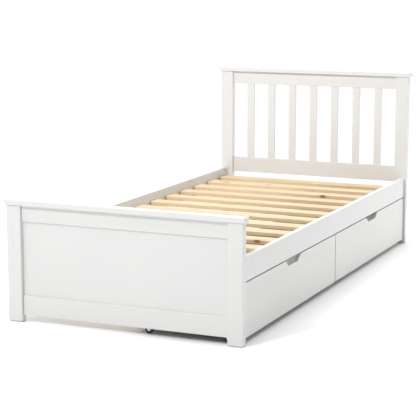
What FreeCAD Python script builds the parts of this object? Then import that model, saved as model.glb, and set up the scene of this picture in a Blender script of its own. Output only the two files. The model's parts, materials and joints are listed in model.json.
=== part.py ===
import FreeCAD, Part
import math
import os

# A white wooden single bed frame with two drawers on castors under its right side.
# Millimetres. X is the width, +Y points to the headboard and +Z is up. The origin is on the
# floor, in the middle of the bed's outline. The drawers roll out towards +X.

Vector = FreeCAD.Vector
X_AXIS = Vector(1, 0, 0)
Y_AXIS = Vector(0, 1, 0)
Z_AXIS = Vector(0, 0, 1)

# Driving dimensions: the whole bed
bed_width = 965.0            # over the outer faces of the posts
inner_length = 2025.0        # clear length between the foot posts and the head posts
post_width = 60.0
post_depth = 31.0
post_ease = 2.5              # rounding along the edges of the posts and caps
board_ease = 2.0             # rounding along the edges of the rails
glide_height = 2.5           # the glides lift the posts off the floor

# Footboard and headboard
foot_post_top = 450.0
head_post_top = 806.0
cap_thickness = 20.0
foot_cap_side, foot_cap_edge = 8.0, 5.0      # how far the cap stands past the posts
head_cap_side, head_cap_edge = 10.0, 6.0
end_rail_thickness = 18.0
end_rail_setback = 10.0      # from the posts' front face to the rails' front face
foot_top_rail_bottom = 388.0
foot_bottom_rail = (28.0, 104.0)
head_top_rail_bottom = 747.0
head_bottom_rail = (300.0, 376.0)
panel_setback = 16.0
panel_thickness = 4.0
panel_groove = 6.0           # how deep the panel sits in the rails and posts
head_slat_count = 7
head_slat_width = 35.0
head_slat_thickness = 13.0
head_slat_setback = 12.5
head_slat_tenon = 12.0       # how far each upright slat runs into the rails
head_slat_ease = 1.5

# Side rails and slatted base
side_rail = (229.0, 320.0)
side_rail_thickness = 20.0
side_setback = 10.0          # from the posts' outer face to the side rails and drawer fronts
ledge_height = 28.0
ledge_width = 20.0
ledge_top = 265.0
ledge_end_gap = 42.0         # leaves the barrel nuts in the rails within reach
base_slat_count = 13
base_slat_width = 70.0
base_slat_thickness = 17.0
base_slat_length = 900.0
base_end_gap = 25.0          # from the posts to the first and last base slat
base_slat_ease = 3.0
webbing_width = 25.0
webbing_thickness = 1.2
webbing_inset = 70.0         # from the end of the base slats to the middle of the band

# Drawers
drawer_length = 1002.0
drawer_gap = 8.0             # between the two drawer fronts
drawer_depth = 437.0         # from the outside of the front to the outside of the back
drawer_front = (21.0, 224.0)
drawer_front_thickness = 15.0
drawer_box = (36.0, 181.0)
drawer_side_thickness = 15.0
drawer_side_inset = 9.0      # from the end of the front to the outside of the box
drawer_bottom_z = 46.0
drawer_bottom_thickness = 5.0
drawer_groove = 6.0
drawer_ease = 1.5
pull_top_half = 84.0         # finger cut-out in the top edge of the front
pull_bottom_half = 49.0
pull_depth = 23.5
pull_bottom_radius = 13.0
pull_top_radius = 10.0

# Castors: a wheel on a pin in a folded steel fork, screwed under the drawer side
wheel_radius = 16.0
wheel_width = 12.0
wheel_edge = 2.0
hub_radius = 6.5
rim_radius = 12.0
wheel_dish = 1.5
pin_radius = 2.5
pin_running_gap = 0.08
rivet_radius = 4.0
rivet_height = 1.2
fork_sheet = 1.6
fork_gap = 0.8               # between the wheel and each cheek
fork_plate_length = 40.0
fork_shoulder = 14.0
fork_tip_radius = 7.0
castor_from_back = 54.0
castor_from_face = 65.0

# Connector bolts, barrel nuts, cover caps and glides
bolt_radius = 3.0
bolt_hole_radius = 3.5
bolt_head_radius = 5.0
bolt_head_height = 6.0
bolt_socket_radius = 2.5
bolt_socket_depth = 3.5
counterbore_radius = 6.0
counterbore_depth = 11.0
bolt_past_nut = 9.0
nut_radius = 5.0
nut_length = 12.0
nut_clearance = 0.1
nut_from_side_rail_end = 32.0
nut_from_end_rail_end = 27.0
side_bolt_edge = 13.0        # from the rail's top and bottom edges to the bolts
top_rail_bolt_drop = 17.0
foot_bottom_bolt_rise = 25.0
head_bottom_bolt_rise = 28.0
cap_head_radius = 8.5
cap_head_height = 1.5
cap_stem_slack = 0.1         # between a cap's stem and the hole it plugs
bolt_cap_stem = 4.0
nut_cap_stem = 2.5
glide_radius = 11.0
glide_stub_radius = 4.0
glide_stub_length = 9.0

# Places worked out from the driving dimensions
half_width = bed_width / 2
post_inner_x = half_width - post_width
side_outer_x = half_width - side_setback
side_inner_x = side_outer_x - side_rail_thickness
length = foot_cap_edge + post_depth + inner_length + post_depth + head_cap_edge
foot_face_y = foot_cap_edge - length / 2
foot_back_y = foot_face_y + post_depth
head_face_y = foot_back_y + inner_length
head_back_y = head_face_y + post_depth
base_top = ledge_top + base_slat_thickness
drawer_back_x = side_outer_x - drawer_depth
drawer_inside_x = side_outer_x - drawer_front_thickness
drawer_margin = (inner_length - 2 * drawer_length - drawer_gap) / 2
first_drawer_y = foot_back_y + drawer_margin
second_drawer_y = first_drawer_y + drawer_length + drawer_gap


def block(x, y, z, ease=0.0):
    """A board from its three (low, high) spans, with every edge rounded by ease."""
    corner = Vector(x[0], y[0], z[0])
    board = Part.makeBox(x[1] - x[0], y[1] - y[0], z[1] - z[0], corner)
    if ease:
        board = board.makeFillet(ease, board.Edges)
    return board


def span(start, size):
    return (start, start + size)


def mirrored(span_x):
    """The same span on the other side of the bed's middle."""
    return (-span_x[1], -span_x[0])


def rod(centre, direction, start, end, radius):
    """A round bar along direction, between two distances from centre."""
    return Part.makeCylinder(radius, end - start, centre + direction * start, direction)


def write(name, shape):
    shape.exportStep("parts/%s.step" % name)


class Connector:
    """A bolt through a post into the end of a rail, drawn tight by a barrel nut in the rail."""

    def __init__(self, mouth, direction, reach, nut_axis):
        self.mouth = mouth                      # middle of the counterbore, on the post's face
        self.direction = direction
        self.nut_axis = nut_axis                # points to the face the nut goes in by
        self.nut_place = mouth + direction * reach
        self.tip = reach + bolt_past_nut

    def holes(self):
        """Everything drilled for this bolt, its nut's hole running out of the rail."""
        way_out = side_rail_thickness / 2 + 1
        bore = rod(self.mouth, self.direction, 0, self.tip + 1, bolt_hole_radius)
        seat = rod(self.mouth, self.direction, 0, counterbore_depth, counterbore_radius)
        nut_hole = rod(self.nut_place, self.nut_axis, -nut_length / 2, way_out,
                       nut_radius + nut_clearance)
        return bore.fuse([seat, nut_hole])

    def bolt(self):
        head_top = counterbore_depth - bolt_head_height
        head = rod(self.mouth, self.direction, head_top, counterbore_depth, bolt_head_radius)
        shank = rod(self.mouth, self.direction, counterbore_depth, self.tip, bolt_radius)
        socket = rod(self.mouth, self.direction, head_top, head_top + bolt_socket_depth,
                     bolt_socket_radius)
        return head.fuse(shank).cut(socket)

    def nut(self):
        barrel = rod(self.nut_place, self.nut_axis, -nut_length / 2, nut_length / 2, nut_radius)
        thread = rod(self.mouth, self.direction, 0, self.tip, bolt_radius + nut_clearance)
        return barrel.cut(thread)

    def bolt_cap(self):
        return cover_cap(self.mouth, self.direction, counterbore_radius, bolt_cap_stem)

    def nut_cap(self):
        mouth = self.nut_place + self.nut_axis * (end_rail_thickness / 2)
        return cover_cap(mouth, -self.nut_axis, nut_radius + nut_clearance, nut_cap_stem)


def cover_cap(mouth, direction, hole_radius, stem_length):
    """A plastic cap: a low disc on the surface and a stem in the hole behind it."""
    disc = rod(mouth, direction, -cap_head_height, 0, cap_head_radius)
    rim = [edge for edge in disc.Edges
           if isinstance(edge.Curve, Part.Circle)
           and abs((edge.Curve.Center - mouth).dot(direction) + cap_head_height) < 0.01]
    disc = disc.makeFillet(cap_head_height * 0.6, rim)
    return disc.fuse(rod(mouth, direction, 0, stem_length, hole_radius - cap_stem_slack))


def side_rail_connectors():
    """Two bolts at each end of each side rail, in through the posts along the bed."""
    heights = (side_rail[0] + side_bolt_edge, side_rail[1] - side_bolt_edge)
    reach = post_depth + nut_from_side_rail_end
    ends = ((foot_face_y, Y_AXIS), (head_back_y, -Y_AXIS))
    return [Connector(Vector(side * (side_outer_x - side_rail_thickness / 2), y, z), way, reach,
                      -X_AXIS * side)
            for side in (-1, 1) for y, way in ends for z in heights]


def end_rail_connectors(face_y, z, left_nut_axis, right_nut_axis):
    """One bolt at each end of a cross rail, in through the outer side of the posts."""
    y = face_y + end_rail_setback + end_rail_thickness / 2
    reach = post_width + nut_from_end_rail_end
    return [Connector(Vector(-half_width, y, z), X_AXIS, reach, left_nut_axis),
            Connector(Vector(half_width, y, z), -X_AXIS, reach, right_nut_axis)]


side_connectors = side_rail_connectors()
foot_top_connectors = end_rail_connectors(
    foot_face_y, foot_post_top - top_rail_bolt_drop, Y_AXIS, Y_AXIS)
foot_bottom_connectors = end_rail_connectors(
    foot_face_y, foot_bottom_rail[0] + foot_bottom_bolt_rise, -Y_AXIS, Y_AXIS)
head_top_connectors = end_rail_connectors(
    head_face_y, head_post_top - top_rail_bolt_drop, Y_AXIS, Y_AXIS)
head_bottom_connectors = end_rail_connectors(
    head_face_y, head_bottom_rail[0] + head_bottom_bolt_rise, Y_AXIS, Y_AXIS)
end_connectors = (foot_top_connectors + foot_bottom_connectors
                  + head_top_connectors + head_bottom_connectors)
connectors = side_connectors + end_connectors


def drill(board, fixings):
    return board.cut([connector.holes() for connector in fixings])


def post(side, face_y, top):
    """A post with its bolt holes and the hole for its glide."""
    outer = span(post_inner_x, post_width)
    x = outer if side > 0 else mirrored(outer)
    body = block(x, span(face_y, post_depth), (glide_height, top), post_ease)
    centre = Vector(side * (half_width - post_width / 2), face_y + post_depth / 2, glide_height)
    body = body.cut(rod(centre, Z_AXIS, 0, glide_stub_length, glide_stub_radius))
    return drill(body, connectors)


def cap(side_overhang, edge_overhang, face_y, bottom):
    """The board on top of the posts and the top rail."""
    reach = half_width + side_overhang
    y = (face_y - edge_overhang, face_y + post_depth + edge_overhang)
    return block((-reach, reach), y, span(bottom, cap_thickness), post_ease)


def cross_rail(face_y, z, fixings):
    """A rail between the two posts of one end, drilled for its bolts."""
    y = span(face_y + end_rail_setback, end_rail_thickness)
    rail = block((-post_inner_x, post_inner_x), y, z, board_ease)
    return drill(rail, fixings)


def footboard():
    y = span(foot_face_y + panel_setback, panel_thickness)
    z = (foot_bottom_rail[1] - panel_groove, foot_top_rail_bottom + panel_groove)
    reach = post_inner_x + panel_groove
    panel = block((-reach, reach), y, z)
    write("footboard_left_post", post(-1, foot_face_y, foot_post_top).cut(panel))
    write("footboard_right_post", post(1, foot_face_y, foot_post_top).cut(panel))
    write("footboard_cap", cap(foot_cap_side, foot_cap_edge, foot_face_y, foot_post_top))
    top_rail = cross_rail(foot_face_y, (foot_top_rail_bottom, foot_post_top),
                          foot_top_connectors)
    write("footboard_top_rail", top_rail.cut(panel))
    bottom_rail = cross_rail(foot_face_y, foot_bottom_rail, foot_bottom_connectors)
    write("footboard_bottom_rail", bottom_rail.cut(panel))
    write("footboard_panel", panel)


def head_slats():
    """Seven upright slats with equal gaps between them and beside the posts."""
    clear = 2 * post_inner_x - head_slat_count * head_slat_width
    pitch = head_slat_width + clear / (head_slat_count + 1)
    y = span(head_face_y + head_slat_setback, head_slat_thickness)
    z = (head_bottom_rail[1] - head_slat_tenon, head_top_rail_bottom + head_slat_tenon)
    slats = []
    for number in range(head_slat_count):
        middle = (number - (head_slat_count - 1) / 2) * pitch
        x = span(middle - head_slat_width / 2, head_slat_width)
        slat = block(x, y, z)
        uprights = [edge for edge in slat.Edges if edge.BoundBox.ZLength > head_slat_width * 2]
        slats.append(slat.makeFillet(head_slat_ease, uprights))
    return slats


def headboard():
    slats = head_slats()
    write("headboard_left_post", post(-1, head_face_y, head_post_top))
    write("headboard_right_post", post(1, head_face_y, head_post_top))
    write("headboard_cap", cap(head_cap_side, head_cap_edge, head_face_y, head_post_top))
    top_rail = cross_rail(head_face_y, (head_top_rail_bottom, head_post_top),
                          head_top_connectors)
    write("headboard_top_rail", top_rail.cut(slats))
    bottom_rail = cross_rail(head_face_y, head_bottom_rail, head_bottom_connectors)
    write("headboard_bottom_rail", bottom_rail.cut(slats))
    for number, slat in enumerate(slats, 1):
        write("headboard_slat_%d" % number, slat)


def sides():
    """The side rails and the battens inside them that carry the base slats."""
    rail_x = (side_inner_x, side_outer_x)
    ledge_x = (side_inner_x - ledge_width, side_inner_x)
    ledge_y = (foot_back_y + ledge_end_gap, head_face_y - ledge_end_gap)
    ledge_z = (ledge_top - ledge_height, ledge_top)
    for name, place in (("right", lambda x: x), ("left", mirrored)):
        rail = block(place(rail_x), (foot_back_y, head_face_y), side_rail, board_ease)
        rail = drill(rail, side_connectors)
        write("%s_side_rail" % name, rail)
        write("%s_slat_ledge" % name, block(place(ledge_x), ledge_y, ledge_z))


def slatted_base():
    """Loose pine slats across the ledges, held apart by two webbing bands under them."""
    first = foot_back_y + base_end_gap
    last = head_face_y - base_end_gap - base_slat_width
    pitch = (last - first) / (base_slat_count - 1)
    x = (-base_slat_length / 2, base_slat_length / 2)
    for number in range(base_slat_count):
        y = span(first + number * pitch, base_slat_width)
        slat = block(x, y, (ledge_top, base_top))
        long_edges = [edge for edge in slat.Edges if edge.BoundBox.XLength > base_slat_width * 2]
        write("base_slat_%02d" % (number + 1), slat.makeFillet(base_slat_ease, long_edges))
    band_x = base_slat_length / 2 - webbing_inset
    band_y = (first + base_slat_width * 0.25, last + base_slat_width * 0.75)
    bands = [block(span(side * band_x - webbing_width / 2, webbing_width), band_y,
                   span(ledge_top - webbing_thickness, webbing_thickness)) for side in (-1, 1)]
    write("slat_webbing", Part.makeCompound(bands))


def pull_cutter(middle_y):
    """The prism taken out of a drawer front for the fingers, its lower corners rounded."""
    top = drawer_front[1]
    slope = (pull_top_half - pull_bottom_half) / pull_depth
    above = pull_depth
    outline = [(-pull_bottom_half, -pull_depth), (pull_bottom_half, -pull_depth),
               (pull_top_half + slope * above, above), (-pull_top_half - slope * above, above)]
    x = drawer_inside_x - 1
    points = [Vector(x, middle_y + y, top + z) for y, z in outline]
    face = Part.Face(Part.makePolygon(points + points[:1]))
    prism = face.extrude(X_AXIS * (drawer_front_thickness + 2))
    lower = [edge for edge in prism.Edges
             if edge.BoundBox.XLength > drawer_front_thickness
             and edge.BoundBox.ZMax < top]
    return prism.makeFillet(pull_bottom_radius, lower)


def drawer_front_board(start_y):
    """The front: a board with the finger cut-out, its outer edges rounded."""
    board = block((drawer_inside_x, side_outer_x), span(start_y, drawer_length), drawer_front)
    middle_y = start_y + drawer_length / 2
    board = board.cut(pull_cutter(middle_y))
    shoulders = [edge for edge in board.Edges
                 if edge.BoundBox.XLength > drawer_front_thickness - 1
                 and abs(edge.BoundBox.ZMin - drawer_front[1]) < 0.01
                 and abs(edge.BoundBox.YMin - middle_y) < pull_top_half + 1]
    board = board.makeFillet(pull_top_radius, shoulders)
    face_edges = [edge for edge in board.Edges
                  if edge.BoundBox.XLength < 0.01
                  and abs(edge.BoundBox.XMin - side_outer_x) < 0.01]
    return board.makeFillet(drawer_ease, face_edges)


def drawer_boards(start_y):
    """The five boards of one drawer, by the last part of their names."""
    end_y = start_y + drawer_length
    foot_side = span(start_y + drawer_side_inset, drawer_side_thickness)
    head_side = span(end_y - drawer_side_inset - drawer_side_thickness, drawer_side_thickness)
    box_x = (drawer_back_x, drawer_inside_x)
    bottom_x = (drawer_back_x + drawer_side_thickness - drawer_groove,
                drawer_inside_x + drawer_groove)
    bottom_y = (foot_side[1] - drawer_groove, head_side[0] + drawer_groove)
    bottom = block(bottom_x, bottom_y, span(drawer_bottom_z, drawer_bottom_thickness))
    back = block(span(drawer_back_x, drawer_side_thickness), (foot_side[1], head_side[0]),
                 drawer_box)
    return {"front": drawer_front_board(start_y).cut(bottom),
            "foot_side": block(box_x, foot_side, drawer_box).cut(bottom),
            "head_side": block(box_x, head_side, drawer_box).cut(bottom),
            "back": back.cut(bottom),
            "bottom": bottom}


def castor_places(start_y):
    """The middles of one drawer's four wheels."""
    inset = drawer_side_inset + drawer_side_thickness / 2
    return [Vector(x, y, wheel_radius)
            for x in (side_outer_x - castor_from_face, drawer_back_x + castor_from_back)
            for y in (start_y + inset, start_y + drawer_length - inset)]


def wheel(centre):
    """A solid tyre with a shallow dish round its hub, turning on the pin."""
    half = wheel_width / 2
    tyre = rod(centre, Y_AXIS, -half, half, wheel_radius)
    tyre = tyre.makeFillet(wheel_edge, [e for e in tyre.Edges if isinstance(e.Curve, Part.Circle)])
    for way in (-Y_AXIS, Y_AXIS):
        dish = rod(centre, way, half - wheel_dish, half, rim_radius)
        tyre = tyre.cut(dish.cut(rod(centre, way, 0, half, hub_radius)))
    return tyre.cut(rod(centre, Y_AXIS, -half, half, pin_radius + pin_running_gap))


def fork_cheek(centre, inner_y):
    """One side of the fork: wide under the plate, narrowing round the pin."""
    plate_bottom = drawer_box[0] - fork_sheet
    rise = plate_bottom - centre.z
    reach = math.hypot(fork_shoulder, rise)
    lean = math.atan2(rise, fork_shoulder) - math.acos(fork_tip_radius / reach)
    out = fork_tip_radius * math.cos(lean)
    up = fork_tip_radius * math.sin(lean)
    y = centre.y + inner_y
    shoulder_right = Vector(centre.x + fork_shoulder, y, plate_bottom)
    shoulder_left = Vector(centre.x - fork_shoulder, y, plate_bottom)
    tangent_right = Vector(centre.x + out, y, centre.z + up)
    tangent_left = Vector(centre.x - out, y, centre.z + up)
    tip = Vector(centre.x, y, centre.z - fork_tip_radius)
    wire = Part.Wire([Part.LineSegment(shoulder_left, shoulder_right).toShape(),
                      Part.LineSegment(shoulder_right, tangent_right).toShape(),
                      Part.Arc(tangent_right, tip, tangent_left).toShape(),
                      Part.LineSegment(tangent_left, shoulder_left).toShape()])
    return Part.Face(wire).extrude(Y_AXIS * fork_sheet)


def castor_fork(centre):
    """A folded steel fork and the riveted pin in it, as two solids."""
    cheek_y = wheel_width / 2 + fork_gap
    half = cheek_y + fork_sheet
    plate = block(span(centre.x - fork_plate_length / 2, fork_plate_length),
                  span(centre.y - half, 2 * half),
                  (drawer_box[0] - fork_sheet, drawer_box[0]))
    cheeks = [fork_cheek(centre, -half), fork_cheek(centre, cheek_y)]
    shank = rod(centre, Y_AXIS, -half, half, pin_radius)
    rivets = [rod(centre, way, half, half + rivet_height, rivet_radius)
              for way in (-Y_AXIS, Y_AXIS)]
    return [plate.fuse(cheeks).cut(shank).removeSplitter(), shank.fuse(rivets)]


def drawer(name, start_y):
    for board, shape in drawer_boards(start_y).items():
        write("%s_%s" % (name, board), shape)
    places = castor_places(start_y)
    forks = [solid for place in places for solid in castor_fork(place)]
    write("%s_castor_forks" % name, Part.makeCompound(forks))
    for number, place in enumerate(places, 1):
        write("%s_wheel_%d" % (name, number), wheel(place))


def fasteners():
    """The connector bolts, their barrel nuts, and the caps over both."""
    write("connector_bolts", Part.makeCompound([c.bolt() for c in connectors]))
    write("barrel_nuts", Part.makeCompound([c.nut() for c in connectors]))
    caps = [c.bolt_cap() for c in connectors] + [c.nut_cap() for c in end_connectors]
    write("cover_caps", Part.makeCompound(caps))


def glides():
    """A plastic disc under each post, held by a stub in the post's end."""
    solids = []
    for side in (-1, 1):
        for face_y in (foot_face_y, head_face_y):
            centre = Vector(side * (half_width - post_width / 2), face_y + post_depth / 2, 0)
            disc = rod(centre, Z_AXIS, 0, glide_height, glide_radius)
            stub = rod(centre, Z_AXIS, glide_height, glide_height + glide_stub_length,
                       glide_stub_radius)
            solids.append(disc.fuse(stub))
    write("foot_glides", Part.makeCompound(solids))


os.makedirs("parts", exist_ok=True)
footboard()
headboard()
sides()
slatted_base()
drawer("foot_drawer", first_drawer_y)
drawer("head_drawer", second_drawer_y)
fasteners()
glides()
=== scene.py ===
import json
import math
import random

import bmesh
import bpy
from mathutils import Matrix, Vector


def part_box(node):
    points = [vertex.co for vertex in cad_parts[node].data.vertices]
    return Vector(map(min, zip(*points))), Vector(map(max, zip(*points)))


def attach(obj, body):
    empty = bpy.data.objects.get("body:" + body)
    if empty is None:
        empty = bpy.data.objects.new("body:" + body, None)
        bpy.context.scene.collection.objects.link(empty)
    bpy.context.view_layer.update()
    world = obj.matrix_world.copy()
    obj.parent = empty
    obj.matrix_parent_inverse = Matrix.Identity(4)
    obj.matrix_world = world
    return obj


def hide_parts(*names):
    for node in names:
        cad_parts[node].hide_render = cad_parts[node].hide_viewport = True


# The looks of a white wooden single bed frame with two drawers under its right side.
# Metres, in the frame of the CAD model: +Y points to the headboard, the drawers roll to +X.

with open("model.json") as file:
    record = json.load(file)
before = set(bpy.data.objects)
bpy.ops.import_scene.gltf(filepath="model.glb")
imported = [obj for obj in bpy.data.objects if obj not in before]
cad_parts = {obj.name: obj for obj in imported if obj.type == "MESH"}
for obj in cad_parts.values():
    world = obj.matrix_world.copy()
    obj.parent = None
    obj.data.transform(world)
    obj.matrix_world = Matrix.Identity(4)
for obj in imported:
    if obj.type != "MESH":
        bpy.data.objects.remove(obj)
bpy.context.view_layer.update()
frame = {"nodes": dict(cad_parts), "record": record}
NODES = frame["nodes"]
SCENE = bpy.context.scene

# Camera: in front of the footboard and to the right, looking a little down
CAMERA_PLACE = (2.353, -5.589, 1.367)
CAMERA_TURN = 23.8           # degrees to the left of +Y
CAMERA_DIP = 9.95            # degrees below the horizon
CAMERA_LENS = 123.7

# Light
WORLD_DARK, WORLD_BRIGHT = 0.08, 1.30
WORLD_BRIGHT_SIDE = (-0.45, 0.89, -0.08)
OVERHEAD, OVERHEAD_ANGLE = 1.2, 50.0      # straight down, and very soft
LAMPS = {                    # place, aim, width and height, power and spread in degrees
    "front": ((-1.1, -4.3, 3.9), (-0.2, -1.0, 0.3), (0.9, 0.9), 127.0, 180.0),
    "near": ((3.2, -4.4, 3.0), (0.2, -0.8, 0.3), (0.9, 0.9), 6.0, 180.0),
    "head": ((-0.3, -1.2, 2.4), (0.0, 1.03, 0.6), (0.8, 0.8), 6.0, 80.0),
    "fill": ((2.9, 3.2, 1.4), (0.47, 1.1, 0.2), (1.2, 1.2), 6.5, 70.0)}
FLOOR_RADIUS = 90.0

# Small fittings
SCREW_RADIUS = 0.0038
SCREW_PROUD = 0.0003
LEDGE_SCREWS = 8
LEDGE_SCREW_END = 0.10
PLATE_SCREW_RADIUS = 0.0030
PLATE_SCREW_REACH = 0.0145   # from the wheel's axis, along the plate
PLATE_THICKNESS = 0.0016     # the castor forks' sheet steel
CASTORS_PER_DRAWER = 4
STAPLE_CROWN = 0.010
STAPLE_WIRE = 0.0006
STAPLE_SIDES = 8             # corners of the wire's section
STAPLE_SPREAD = 0.012        # half the distance between the two staples on a slat
STAPLE_JOG = 0.002           # how far a staple may sit from its exact place
STAPLE_TURN = 0.2            # and how far it may be turned, in radians
SHARP_EDGE = math.radians(40.0)           # an edge sharper than this is shaded crisp

# Webbing: two bands under the slats
BAND_WIDTH = 0.025
BAND_SAG = 0.0022            # between two slats
BAND_STEP = 0.005
BAND_RIBS = 6
BAND_CREST, BAND_TROUGH = 0.95, 0.72      # thickness on and between the ribs, as a share
BAND_SELVEDGE = 0.6          # and of that at the two edges
WARP_PITCH = 0.0021          # the weave: ribs along the band, picks across it
PICK_PITCH = 0.0016


class Surface:
    """A material being built: short calls that add and join its nodes."""

    def __init__(self, name):
        self.material = bpy.data.materials.new(name)
        self.material.use_nodes = True
        self.tree = self.material.node_tree
        self.shader = self.tree.nodes["Principled BSDF"]
        self.place = self.add("ShaderNodeTexCoord").outputs["Object"]

    def add(self, kind, **settings):
        node = self.tree.nodes.new(kind)
        for key, value in settings.items():
            setattr(node, key, value)
        return node

    def feed(self, socket, value):
        """Joins an output to a socket, or sets the socket to a value."""
        if isinstance(value, bpy.types.NodeSocket):
            self.tree.links.new(value, socket)
        else:
            socket.default_value = value

    def mapped(self, scale, shift=(0.0, 0.0, 0.0), turn=(0.0, 0.0, 0.0)):
        """The object's own coordinates, moved, turned and then scaled."""
        moved = self.add("ShaderNodeMapping")
        self.feed(moved.inputs["Vector"], self.place)
        moved.inputs["Location"].default_value = shift
        moved.inputs["Rotation"].default_value = turn
        scaled = self.add("ShaderNodeVectorMath", operation="MULTIPLY")
        self.feed(scaled.inputs[0], moved.outputs[0])
        scaled.inputs[1].default_value = scale
        return scaled.outputs[0]

    def noise(self, where, detail=3.0, roughness=0.55, distortion=0.0):
        texture = self.add("ShaderNodeTexNoise")
        self.feed(texture.inputs["Vector"], where)
        texture.inputs["Scale"].default_value = 1.0
        texture.inputs["Detail"].default_value = detail
        texture.inputs["Roughness"].default_value = roughness
        texture.inputs["Distortion"].default_value = distortion
        return texture.outputs[0]

    def math(self, operation, *values):
        step = self.add("ShaderNodeMath", operation=operation)
        for socket, value in zip(step.inputs, values):
            self.feed(socket, value)
        return step.outputs[0]

    def spread(self, factor, low, high, start=0.0, end=1.0):
        """Takes factor's range start..end to low..high."""
        step = self.add("ShaderNodeMapRange")
        for socket, value in zip(step.inputs, (factor, start, end, low, high)):
            self.feed(socket, value)
        return step.outputs[0]

    def ramp(self, factor, *stops):
        """A colour ramp from (place, colour) stops."""
        node = self.add("ShaderNodeValToRGB")
        self.feed(node.inputs[0], factor)
        elements = node.color_ramp.elements
        while len(elements) < len(stops):
            elements.new(0.5)
        for element, (place, colour) in zip(elements, stops):
            element.position = place
            element.color = (*colour, 1.0)
        return node.outputs[0]

    def mix(self, factor, first, second, blend="MIX"):
        node = self.add("ShaderNodeMix", data_type="RGBA", blend_type=blend)
        self.feed(node.inputs[0], factor)
        self.feed(node.inputs[6], first)
        self.feed(node.inputs[7], second)
        return node.outputs[2]

    def bump(self, height, distance, strength=1.0, after=None):
        node = self.add("ShaderNodeBump")
        self.feed(node.inputs["Height"], height)
        node.inputs["Distance"].default_value = distance
        node.inputs["Strength"].default_value = strength
        if after is not None:
            self.feed(node.inputs["Normal"], after)
        return node.outputs[0]

    def finish(self, colour, roughness, normal=None, **fixed):
        """Joins the colour, roughness and bump to the shader and sets its fixed values."""
        self.feed(self.shader.inputs["Base Color"], colour)
        self.feed(self.shader.inputs["Roughness"], roughness)
        if normal is not None:
            self.feed(self.shader.inputs["Normal"], normal)
        for name, value in fixed.items():
            self.shader.inputs[name.replace("_", " ")].default_value = value
        return self.material


def along(axis, fine, long):
    """A texture scale that is stretched along one axis: fine across it, long along it."""
    scale = [fine, fine, fine]
    scale["XYZ".index(axis)] = long
    return tuple(scale)


def painted_wood(name, axis):
    """White satin paint over solid wood, with the grain showing faintly through it."""
    s = Surface(name)
    grain = s.noise(s.mapped(along(axis, 260.0, 5.0)), detail=4.0, distortion=0.4)
    blotch = s.noise(s.mapped(along(axis, 9.0, 1.6)), detail=3.0)
    peel = s.noise(s.mapped((700.0, 700.0, 700.0)), detail=2.0)
    colour = s.ramp(blotch, (0.30, (0.705, 0.706, 0.698)), (0.72, (0.728, 0.728, 0.722)))
    colour = s.mix(s.spread(grain, 0.0, 0.45, 0.55, 0.80), colour, (0.662, 0.660, 0.646, 1.0))
    roughness = s.spread(s.noise(s.mapped((45.0, 45.0, 45.0))), 0.34, 0.50, 0.3, 0.7)
    normal = s.bump(grain, 0.00009)
    normal = s.bump(peel, 0.00002, after=normal)
    return s.finish(colour, roughness, normal, Specular_IOR_Level=0.5, Coat_Weight=0.08,
                    Coat_Roughness=0.25)


def painted_board(name, dark, light):
    """Factory-sprayed white board: flatter than painted wood, with a fine orange peel."""
    s = Surface(name)
    blotch = s.noise(s.mapped((3.0, 3.0, 3.0)), detail=4.0)
    peel = s.noise(s.mapped((420.0, 420.0, 420.0)), detail=3.0)
    colour = s.ramp(blotch, (0.30, dark), (0.75, light))
    roughness = s.spread(s.noise(s.mapped((60.0, 60.0, 60.0))), 0.36, 0.48, 0.3, 0.7)
    return s.finish(colour, roughness, s.bump(peel, 0.000025), Specular_IOR_Level=0.5,
                    Coat_Weight=0.08, Coat_Roughness=0.25)


def pine(name, middle, axis, seed):
    """Bare planed pine: growth rings round a far pith, paler early wood, knots and pores."""
    draw = random.Random(seed)
    s = Surface(name)
    pith = (draw.uniform(-0.02, 0.02), draw.uniform(-0.09, -0.05))
    drift = s.noise(s.mapped(along(axis, 6.0, 1.3), (draw.uniform(0, 9), 0.0, 0.0)), detail=2.0)
    wobble = s.noise(s.mapped(along(axis, 60.0, 4.0), (draw.uniform(0, 9), 0.0, 0.0)), detail=3.0)
    parts = s.add("ShaderNodeSeparateXYZ")
    s.feed(parts.inputs[0], s.mapped((1.0, 1.0, 1.0), tuple(-c for c in middle)))
    across = parts.outputs["Y" if axis == "X" else "X"]
    side = s.math("ADD", s.math("ADD", across, pith[0]), s.spread(drift, -0.035, 0.035))
    depth = s.math("SUBTRACT", parts.outputs["Z"], pith[1])
    radius = s.math("SQRT", s.math("ADD", s.math("MULTIPLY", side, side),
                                   s.math("MULTIPLY", depth, depth)))
    radius = s.math("ADD", radius, s.spread(wobble, -0.0012, 0.0012))
    ring_width = draw.uniform(0.0028, 0.0042)
    ring = s.math("FRACT", s.math("DIVIDE", radius, ring_width))
    tint = draw.uniform(-0.03, 0.03)
    early = (0.76 + tint, 0.60 + tint, 0.40 + tint)
    late = (0.62 + tint, 0.42 + tint, 0.23 + tint)
    colour = s.ramp(ring, (0.0, early), (0.62, tuple(0.97 * c for c in early)), (0.88, late),
                    (1.0, early))
    pores = s.noise(s.mapped(along(axis, 900.0, 18.0)), detail=3.0)
    colour = s.mix(s.spread(pores, 0.0, 0.45, 0.52, 0.80), colour, (0.58, 0.40, 0.23, 1.0))
    knots = s.add("ShaderNodeTexVoronoi", feature="F1")
    s.feed(knots.inputs["Vector"], s.mapped(along(axis, 8.0, 4.2), (draw.uniform(0, 9),) * 3))
    knots.inputs["Scale"].default_value = 1.0
    heart = s.spread(knots.outputs["Distance"], 1.0, 0.0, 0.03, 0.085)
    halo = s.spread(knots.outputs["Distance"], 0.55, 0.0, 0.06, 0.22)
    colour = s.mix(halo, colour, (0.63, 0.42, 0.22, 1.0))
    colour = s.mix(heart, colour, (0.24, 0.12, 0.06, 1.0))
    roughness = s.spread(pores, 0.50, 0.68, 0.3, 0.7)
    normal = s.bump(ring, 0.00010, 0.6)
    normal = s.bump(pores, 0.00012, after=normal)
    return s.finish(colour, roughness, normal, Specular_IOR_Level=0.35)


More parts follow.
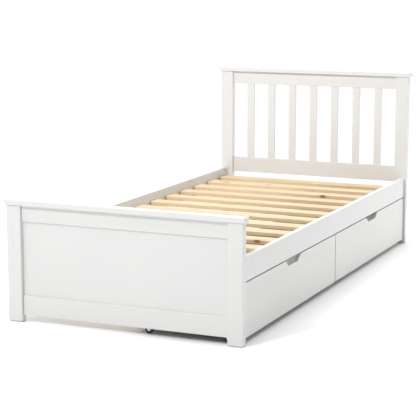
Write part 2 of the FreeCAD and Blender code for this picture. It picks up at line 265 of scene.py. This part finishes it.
def hardboard():
    """Smooth brown hardboard with short pressed fibres."""
    s = Surface("hardboard")
    fibres = s.noise(s.mapped((520.0, 160.0, 300.0)), detail=5.0, distortion=1.2)
    blotch = s.noise(s.mapped((5.0, 5.0, 5.0)), detail=4.0)
    colour = s.ramp(fibres, (0.28, (0.15, 0.088, 0.048)), (0.55, (0.25, 0.157, 0.092)),
                    (0.78, (0.35, 0.235, 0.145)))
    colour = s.mix(s.spread(blotch, 0.0, 0.4, 0.35, 0.75), colour, (0.20, 0.124, 0.070, 1.0))
    roughness = s.spread(fibres, 0.42, 0.62, 0.3, 0.7)
    return s.finish(colour, roughness, s.bump(fibres, 0.00008), Specular_IOR_Level=0.35)


def zinc():
    """Zinc-plated steel: cool grey with fine drawn lines and a cloudy plating."""
    s = Surface("zinc")
    cloud = s.noise(s.mapped((120.0, 120.0, 120.0)), detail=4.0)
    lines = s.noise(s.mapped((60.0, 2400.0, 2400.0)), detail=2.0)
    colour = s.ramp(cloud, (0.3, (0.50, 0.53, 0.58)), (0.7, (0.68, 0.70, 0.73)))
    roughness = s.spread(cloud, 0.26, 0.44, 0.3, 0.7)
    return s.finish(colour, roughness, s.bump(lines, 0.00003), Metallic=1.0)


def black_plastic():
    """Moulded black plastic with a fine matt texture and faint scuffs."""
    s = Surface("black_plastic")
    fine = s.noise(s.mapped((1500.0, 1500.0, 1500.0)), detail=2.0)
    scuff = s.noise(s.mapped((90.0, 260.0, 90.0)), detail=5.0, distortion=0.8)
    colour = s.ramp(scuff, (0.45, (0.012, 0.012, 0.013)), (0.80, (0.050, 0.048, 0.045)))
    roughness = s.spread(scuff, 0.34, 0.62, 0.35, 0.75)
    return s.finish(colour, roughness, s.bump(fine, 0.00003), Specular_IOR_Level=0.5)


def white_plastic():
    """Moulded white plastic, a touch cooler and smoother than the paint round it."""
    s = Surface("white_plastic")
    cloud = s.noise(s.mapped((200.0, 200.0, 200.0)), detail=3.0)
    colour = s.ramp(cloud, (0.3, (0.720, 0.723, 0.723)), (0.7, (0.738, 0.741, 0.741)))
    roughness = s.spread(cloud, 0.26, 0.36, 0.3, 0.7)
    return s.finish(colour, roughness, s.bump(cloud, 0.00002), Specular_IOR_Level=0.5)


def webbing_cloth():
    """Off-white cotton webbing: warp ribs along the band and picks across it."""
    s = Surface("webbing_cloth")
    parts = s.add("ShaderNodeSeparateXYZ")
    s.feed(parts.inputs[0], s.place)
    warp = s.math("SINE", s.math("MULTIPLY", parts.outputs["X"], 2 * math.pi / WARP_PITCH))
    shift = s.math("MULTIPLY", s.math("SIGN", warp), 0.25)
    picks = s.math("ADD", s.math("DIVIDE", parts.outputs["Y"], PICK_PITCH), shift)
    pick = s.math("SINE", s.math("MULTIPLY", picks, 2 * math.pi))
    weave = s.math("MULTIPLY", s.math("ABSOLUTE", warp), s.math("ADD", pick, 1.4))
    fuzz = s.noise(s.mapped((900.0, 900.0, 900.0)), detail=4.0)
    # The colour follows the weave's height: darker in the hollows between the ribs and picks,
    # which is painted shade
    colour = s.ramp(s.math("MULTIPLY", weave, 0.42), (0.0, (0.52, 0.49, 0.42)),
                    (0.5, (0.70, 0.67, 0.60)), (1.0, (0.80, 0.77, 0.71)))
    colour = s.mix(s.spread(fuzz, 0.0, 0.35, 0.45, 0.75), colour, (0.86, 0.84, 0.79, 1.0))
    normal = s.bump(weave, 0.00022)
    normal = s.bump(fuzz, 0.00008, after=normal)
    return s.finish(colour, s.spread(fuzz, 0.80, 0.95, 0.3, 0.7), normal, Sheen_Weight=0.25,
                    Sheen_Roughness=0.5, Specular_IOR_Level=0.2)


def dress(node, material):
    """Gives a CAD node its material."""
    NODES[node].material_slots[0].material = material


def longest_axis(node):
    """The axis that a board's grain runs along."""
    low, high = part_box(node)
    size = high - low
    return "XYZ"[max(range(3), key=lambda i: size[i])]


def dress_cad_nodes(zinc_steel, plastic_white, plastic_black):
    """A material for every CAD node that stays, by the record's slot and its grain."""
    wood = {axis: painted_wood("painted_wood_" + axis, axis) for axis in "XYZ"}
    panel = painted_board("painted_board", (0.702, 0.704, 0.697), (0.724, 0.725, 0.719))
    # The drawers' board is the panel's paint in a greener tone of its own, and made darker as
    # painted shade
    drawer = painted_board("drawer_board_painted_shade", (0.672, 0.679, 0.661), (0.694, 0.700, 0.683))
    single = {"painted_board": drawer, "hardboard": hardboard(), "zinc_steel": zinc_steel,
              "black_plastic": plastic_black, "white_plastic": plastic_white}
    for number, part in enumerate(frame["record"]["subparts"]):
        node, kind = part["node"], part["material_slot"]
        if node == "footboard_panel":
            dress(node, panel)
        elif kind in single:
            dress(node, single[kind])
        elif kind == "painted_wood":
            dress(node, wood[longest_axis(node)])
        elif kind == "bare_pine":
            low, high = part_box(node)
            axis = longest_axis(node)
            dress(node, pine("pine_" + node, tuple((low + high) / 2), axis, number))


def new_piece(name, mesh, material, body):
    """A finished mesh as a piece of the object, riding on a body."""
    mesh.materials.append(material)
    piece = bpy.data.objects.new(name, mesh)
    SCENE.collection.objects.link(piece)
    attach(piece, body)
    return piece


def shade_smooth(bm):
    """Smooth faces, with the sharp edges kept crisp."""
    for face in bm.faces:
        face.smooth = True
    for edge in bm.edges:
        if len(edge.link_faces) == 2:
            edge.smooth = edge.calc_face_angle(0.0) < SHARP_EDGE


def to_mesh(bm, name):
    """Ends the work on a bmesh and gives its mesh, with the faces turned outwards."""
    bmesh.ops.recalc_face_normals(bm, faces=bm.faces)
    shade_smooth(bm)
    mesh = bpy.data.meshes.new(name)
    bm.to_mesh(mesh)
    bm.free()
    return mesh


def circle(bm, radius, height, count=24):
    """A loop of vertices round the Z axis."""
    return [bm.verts.new((radius * math.cos(2 * math.pi * i / count),
                          radius * math.sin(2 * math.pi * i / count), height))
            for i in range(count)]


def join_loops(bm, low, high):
    """A band of faces between two loops of as many vertices."""
    count = len(low)
    for i in range(count):
        j = (i + 1) % count
        bm.faces.new((low[i], low[j], high[j], high[i]))


def loop_edges(bm, verts):
    """The edges round a closed loop, made where they are missing."""
    count = len(verts)
    return [bm.edges.get((verts[i], verts[(i + 1) % count]))
            or bm.edges.new((verts[i], verts[(i + 1) % count])) for i in range(count)]


def add_screw(bm, radius, place):
    """A countersunk cross-head screw's visible head, pointing along +Z of the matrix place."""
    before = set(bm.verts)
    top = SCREW_PROUD * 1.8
    rim_low = circle(bm, radius, -radius * 0.15)
    rim_high = circle(bm, radius, SCREW_PROUD)
    crown = circle(bm, radius * 0.86, top)
    join_loops(bm, rim_low, rim_high)
    join_loops(bm, rim_high, crown)
    bm.faces.new(reversed(rim_low))
    arm, half = radius * 0.62, radius * 0.13
    cross = [(arm, -half), (arm, half), (half, half), (half, arm), (-half, arm), (-half, half),
             (-arm, half), (-arm, -half), (-half, -half), (-half, -arm), (half, -arm),
             (half, -half)]
    mouth = [bm.verts.new((x, y, top)) for x, y in cross]
    floor = [bm.verts.new((x * 0.55, y * 0.55, -radius * 0.10)) for x, y in cross]
    join_loops(bm, mouth, floor)
    bm.faces.new(floor)
    edges = loop_edges(bm, crown) + loop_edges(bm, mouth)
    bmesh.ops.triangle_fill(bm, edges=edges, use_beauty=True)
    added = [v for v in bm.verts if v not in before]
    bmesh.ops.transform(bm, matrix=place, verts=added)


def facing(point, normal, twist=0.0):
    """A matrix that stands +Z on point along normal, turned about it by twist."""
    turn = Vector(normal).to_track_quat("Z", "Y").to_matrix().to_4x4()
    return Matrix.Translation(point) @ turn @ Matrix.Rotation(twist, 4, "Z")


def ledge_screws(material):
    """The countersunk screws along the inner faces of the two slat ledges."""
    draw = random.Random(11)
    for side, name in ((-1, "left"), (1, "right")):
        low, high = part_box("%s_slat_ledge" % name)
        x = low.x if side > 0 else high.x
        z = (low.z + high.z) / 2
        bm = bmesh.new()
        for i in range(LEDGE_SCREWS):
            share = i / (LEDGE_SCREWS - 1)
            y = low.y + LEDGE_SCREW_END + share * (high.y - low.y - 2 * LEDGE_SCREW_END)
            place = facing((x, y, z), (-side, 0, 0), draw.uniform(0, math.pi))
            add_screw(bm, SCREW_RADIUS, place)
        mesh = to_mesh(bm, "%s_ledge_screws" % name)
        new_piece("%s_ledge_screws" % name, mesh, material, "bed")


def castor_screws(material):
    """Two screws through each castor plate into the drawer side above it."""
    draw = random.Random(12)
    for drawer in ("foot_drawer", "head_drawer"):
        plate_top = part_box("%s_castor_forks" % drawer)[1].z
        plate_bottom = plate_top - PLATE_THICKNESS
        bm = bmesh.new()
        for number in range(1, CASTORS_PER_DRAWER + 1):
            low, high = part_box("%s_wheel_%d" % (drawer, number))
            middle = (low + high) / 2
            for way in (-1, 1):
                point = (middle.x + way * PLATE_SCREW_REACH, middle.y, plate_bottom)
                place = facing(point, (0, 0, -1), draw.uniform(0, math.pi))
                add_screw(bm, PLATE_SCREW_RADIUS, place)
        mesh = to_mesh(bm, "%s_castor_screws" % drawer)
        new_piece("%s_castor_screws" % drawer, mesh, material, drawer)


def base_slats():
    """The base slats' names, from the footboard to the headboard."""
    return sorted(name for name in NODES if name.startswith("base_slat_"))


def band_drop(y, spans):
    """How far the webbing hangs below the slats' undersides: nothing at a slat."""
    for (_, start), (end, _) in zip(spans, spans[1:]):
        if start < y < end:
            share = (y - start) / (end - start)
            return BAND_SAG * 4 * share * (1 - share)
    return 0.0


def band_mesh(name, middle_x, low, high, spans):
    """A ribbed band: both faces wavy across their width, thinner at the two selvedges."""
    thickness = high.z - low.z
    rows = int((high.y - low.y) / BAND_STEP) + 1
    columns = 2 * BAND_RIBS + 1
    bm = bmesh.new()
    loops = []
    for row in range(rows):
        y = low.y + (high.y - low.y) * row / (rows - 1)
        middle_z = (low.z + high.z) / 2 - band_drop(y, spans)
        upper, under = [], []
        for column in range(columns):
            share = column / (columns - 1)
            x = middle_x + (share - 0.5) * BAND_WIDTH
            half = thickness / 2 * (BAND_CREST if column % 2 else BAND_TROUGH)
            if column in (0, columns - 1):
                half *= BAND_SELVEDGE
            upper.append(bm.verts.new((x, y, middle_z + half)))
            under.append(bm.verts.new((x, y, middle_z - half)))
        loops.append(upper + under[::-1])
    for first, second in zip(loops, loops[1:]):
        join_loops(bm, first, second)
    bm.faces.new(reversed(loops[0]))
    bm.faces.new(loops[-1])
    return to_mesh(bm, name)


def webbing(material):
    """Two cotton bands under the slats, standing for the plain CAD bands."""
    low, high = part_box("slat_webbing")
    spans = [(a.y, b.y) for a, b in map(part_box, base_slats())]
    for side, name in ((-1, "left_webbing_band"), (1, "right_webbing_band")):
        mesh = band_mesh(name, side * (high.x - BAND_WIDTH / 2), low, high, spans)
        band = new_piece(name, mesh, material, "bed")
        if side < 0:
            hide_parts("slat_webbing")


def add_staple(bm, centre, turn):
    """One staple under the band: a flat crown whose two ends bend up through it."""
    half = STAPLE_CROWN / 2
    bend = STAPLE_WIRE * 2
    path = [(-half, bend), (-half, bend * 0.3), (-half + bend * 0.7, 0.0),
            (half - bend * 0.7, 0.0), (half, bend * 0.3), (half, bend)]
    sections = []
    for x, z in path:
        section = []
        for corner in range(STAPLE_SIDES):
            angle = 2 * math.pi * corner / STAPLE_SIDES
            out = Vector((0.0, STAPLE_WIRE * 1.1 * math.cos(angle), 0.0))
            upright = abs(x) > half - bend * 0.5
            lift = STAPLE_WIRE * 0.7 * math.sin(angle)
            point = Vector((x + (lift if upright else 0.0), 0.0, z + (0.0 if upright else lift)))
            point = Matrix.Rotation(turn, 3, "Z") @ (point + out)
            section.append(bm.verts.new(Vector(centre) + point))
        sections.append(section)
    for first, second in zip(sections, sections[1:]):
        join_loops(bm, first, second)
    bm.faces.new(sections[0])
    bm.faces.new(reversed(sections[-1]))


def staples(material):
    """Two staples through the webbing into every base slat."""
    draw = random.Random(13)
    low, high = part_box("slat_webbing")
    bm = bmesh.new()
    for name in base_slats():
        slat_low, slat_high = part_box(name)
        y = (slat_low.y + slat_high.y) / 2
        for side in (-1, 1):
            x = side * (high.x - BAND_WIDTH / 2)
            for way in (-1, 1):
                jog = draw.uniform(-STAPLE_JOG, STAPLE_JOG)
                centre = (x + jog, y + way * STAPLE_SPREAD + jog, low.z - STAPLE_WIRE / 4)
                add_staple(bm, centre, draw.uniform(-STAPLE_TURN, STAPLE_TURN))
    new_piece("webbing_staples", to_mesh(bm, "webbing_staples"), material, "bed")


def studio_floor():
    """A plain pale floor that runs far past the view."""
    bpy.ops.mesh.primitive_circle_add(vertices=96, radius=FLOOR_RADIUS, fill_type="NGON")
    floor = bpy.context.object
    floor.name = "floor"
    pale = Surface("pale_floor")
    tone = pale.ramp(pale.noise(pale.mapped((0.7, 0.7, 0.7))), (0.3, (0.935, 0.935, 0.935)),
                     (0.7, (0.945, 0.945, 0.945)))
    floor.data.materials.append(pale.finish(tone, 0.6, Specular_IOR_Level=0.2))


def studio_surround():
    """White light from all round, strongest from one side."""
    world = bpy.data.worlds.new("studio")
    SCENE.world = world
    world.use_nodes = True
    nodes, links = world.node_tree.nodes, world.node_tree.links
    nodes["Background"].inputs["Color"].default_value = (1, 1, 1, 1)
    direction = nodes.new("ShaderNodeTexCoord").outputs["Generated"]
    towards = nodes.new("ShaderNodeVectorMath")
    towards.operation = "DOT_PRODUCT"
    links.new(direction, towards.inputs[0])
    towards.inputs[1].default_value = WORLD_BRIGHT_SIDE
    brightness = nodes.new("ShaderNodeMapRange")
    links.new(towards.outputs["Value"], brightness.inputs["Value"])
    brightness.inputs["From Min"].default_value = -1.0
    brightness.inputs["To Min"].default_value = WORLD_DARK
    brightness.inputs["To Max"].default_value = WORLD_BRIGHT
    links.new(brightness.outputs["Result"], nodes["Background"].inputs["Strength"])


def studio_lamps():
    """A very soft light from straight above, and the rectangular lamps."""
    sky = bpy.data.lights.new("overhead", "SUN")
    sky.energy = OVERHEAD
    sky.angle = math.radians(OVERHEAD_ANGLE)
    SCENE.collection.objects.link(bpy.data.objects.new("overhead", sky))
    for name, (place, aim, size, power, spread) in LAMPS.items():
        lamp = bpy.data.lights.new(name, "AREA")
        lamp.shape = "RECTANGLE"
        lamp.size, lamp.size_y = size
        lamp.energy = power
        lamp.spread = math.radians(spread)
        light = bpy.data.objects.new(name, lamp)
        SCENE.collection.objects.link(light)
        light.location = place
        way = Vector(aim) - Vector(place)
        light.rotation_euler = way.to_track_quat("-Z", "Y").to_euler()


def studio_camera():
    """The camera, in front of the footboard and to its right."""
    camera_data = bpy.data.cameras.new("camera")
    camera_data.lens = CAMERA_LENS
    camera_data.sensor_width = 36.0
    camera_data.clip_end = 200.0
    camera = bpy.data.objects.new("camera", camera_data)
    SCENE.collection.objects.link(camera)
    camera.location = CAMERA_PLACE
    camera.rotation_euler = (math.radians(90 - CAMERA_DIP), 0.0, math.radians(CAMERA_TURN))
    SCENE.camera = camera
    SCENE.view_settings.view_transform = "Standard"


zinc_steel = zinc()
dress_cad_nodes(zinc_steel, white_plastic(), black_plastic())
ledge_screws(zinc_steel)
castor_screws(zinc_steel)
webbing(webbing_cloth())
staples(zinc_steel)
studio_floor()
studio_surround()
studio_lamps()
studio_camera()
